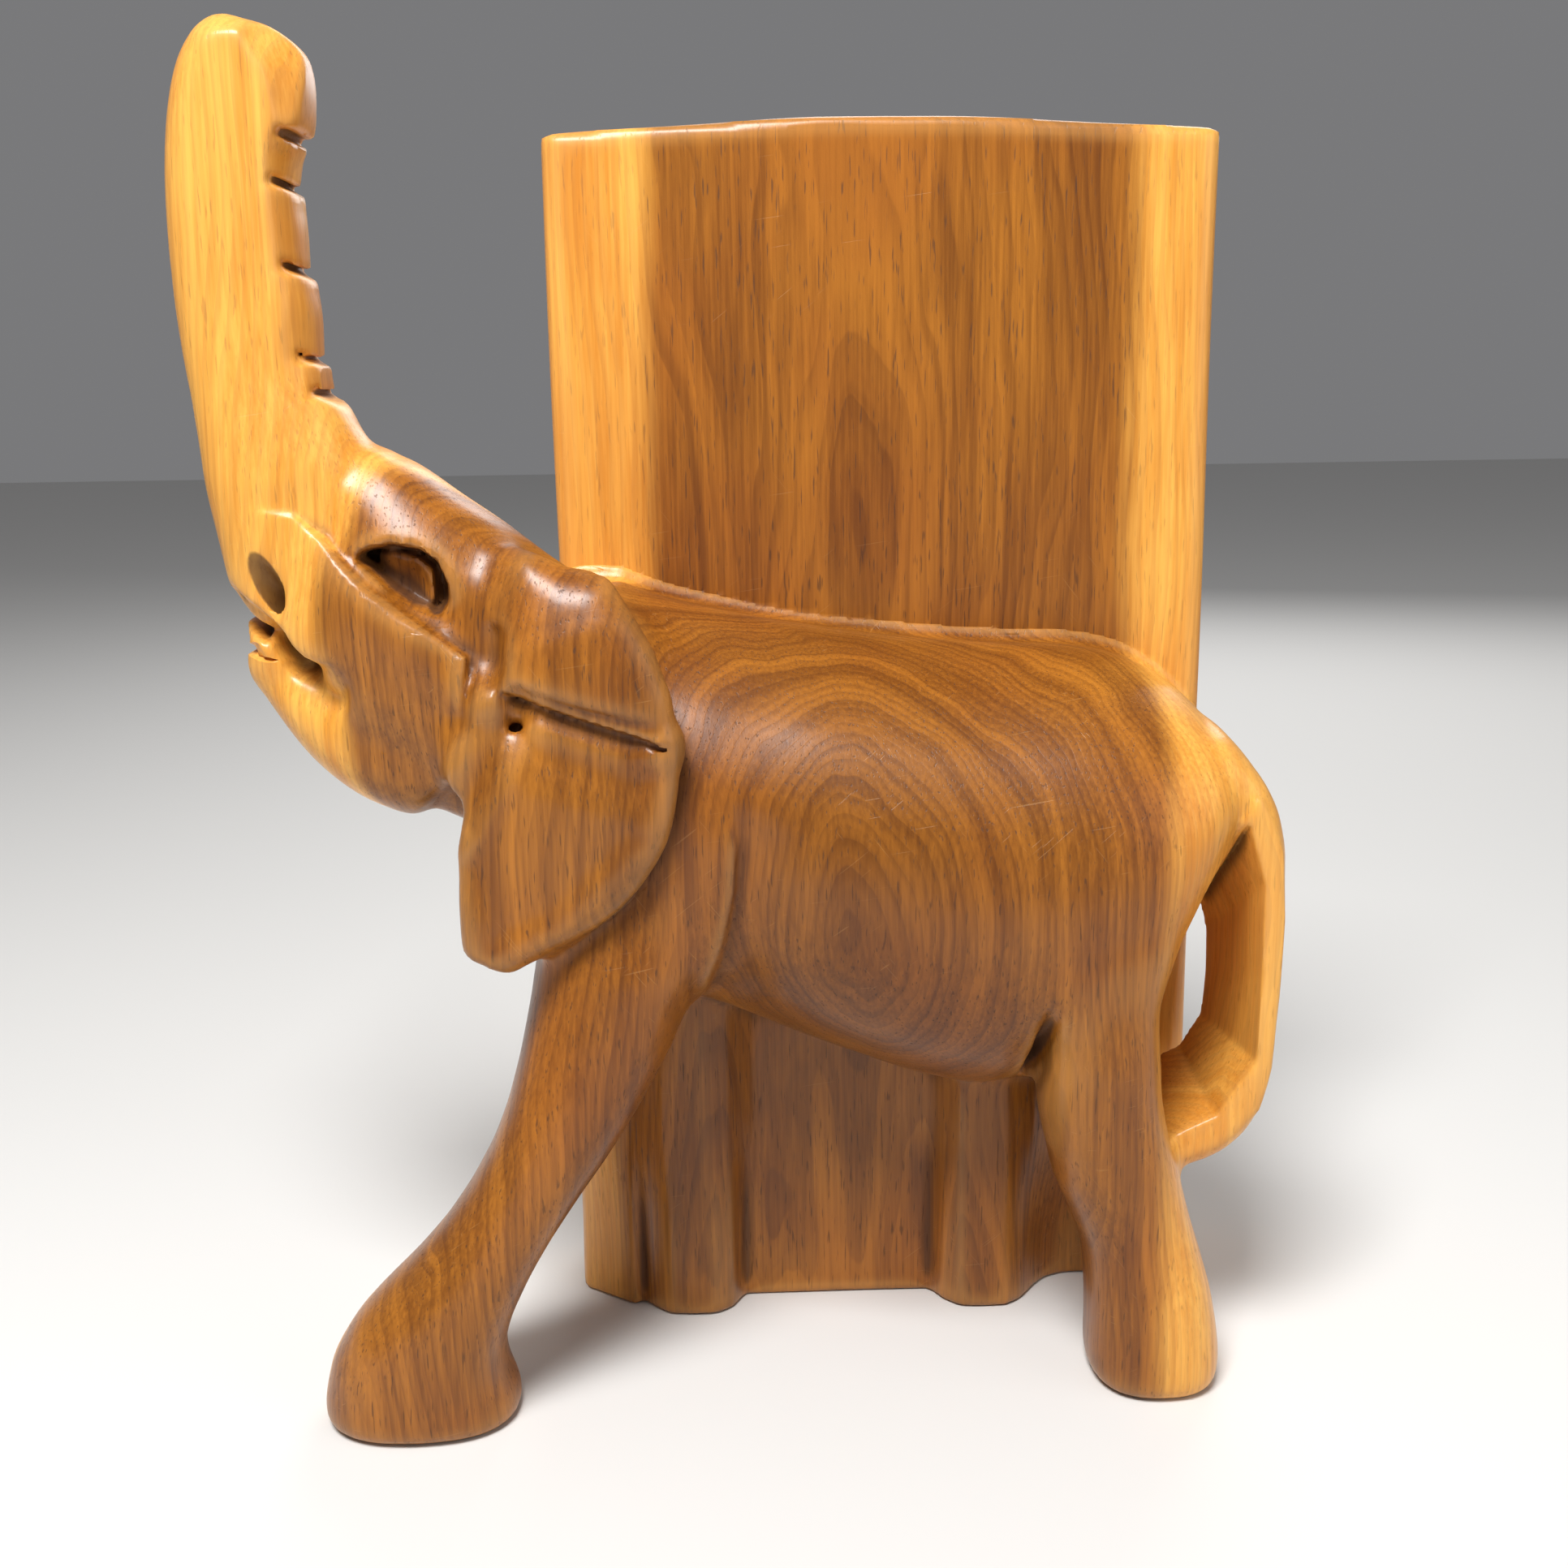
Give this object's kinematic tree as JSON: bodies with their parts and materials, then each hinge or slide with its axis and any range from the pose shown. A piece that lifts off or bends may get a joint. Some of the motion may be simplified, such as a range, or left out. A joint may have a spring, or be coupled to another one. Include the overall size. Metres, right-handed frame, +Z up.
{
  "type": "carved elephant bookend",
  "caption": "Upright wooden board with an elephant carved out of its front, trunk raised, to hold up a row of books or stand as a figurine.",
  "frame": {"origin": "middle of the board's underside, on the surface that the bookend stands on", "axes": "+Z up, +X from the trunk towards the tail, -Y the side the elephant stands out of"},
  "size_m": [0.1872, 0.0746, 0.2379],
  "materials": {
    "heartwood": "polished, streaked brown",
    "sapwood": "polished, pale honey"
  },
  "bodies": {
    "root": {"back_board": "heartwood", "body": "heartwood", "head": "heartwood", "trunk": "sapwood", "lower_jaw": "sapwood", "near_ear": "heartwood", "far_ear": "heartwood", "near_eye": "heartwood", "far_eye": "heartwood", "near_front_leg": "heartwood", "near_hind_leg": "sapwood", "far_front_leg": "heartwood", "far_hind_leg": "heartwood", "tail": "sapwood"}
  },
  "joints": []
}
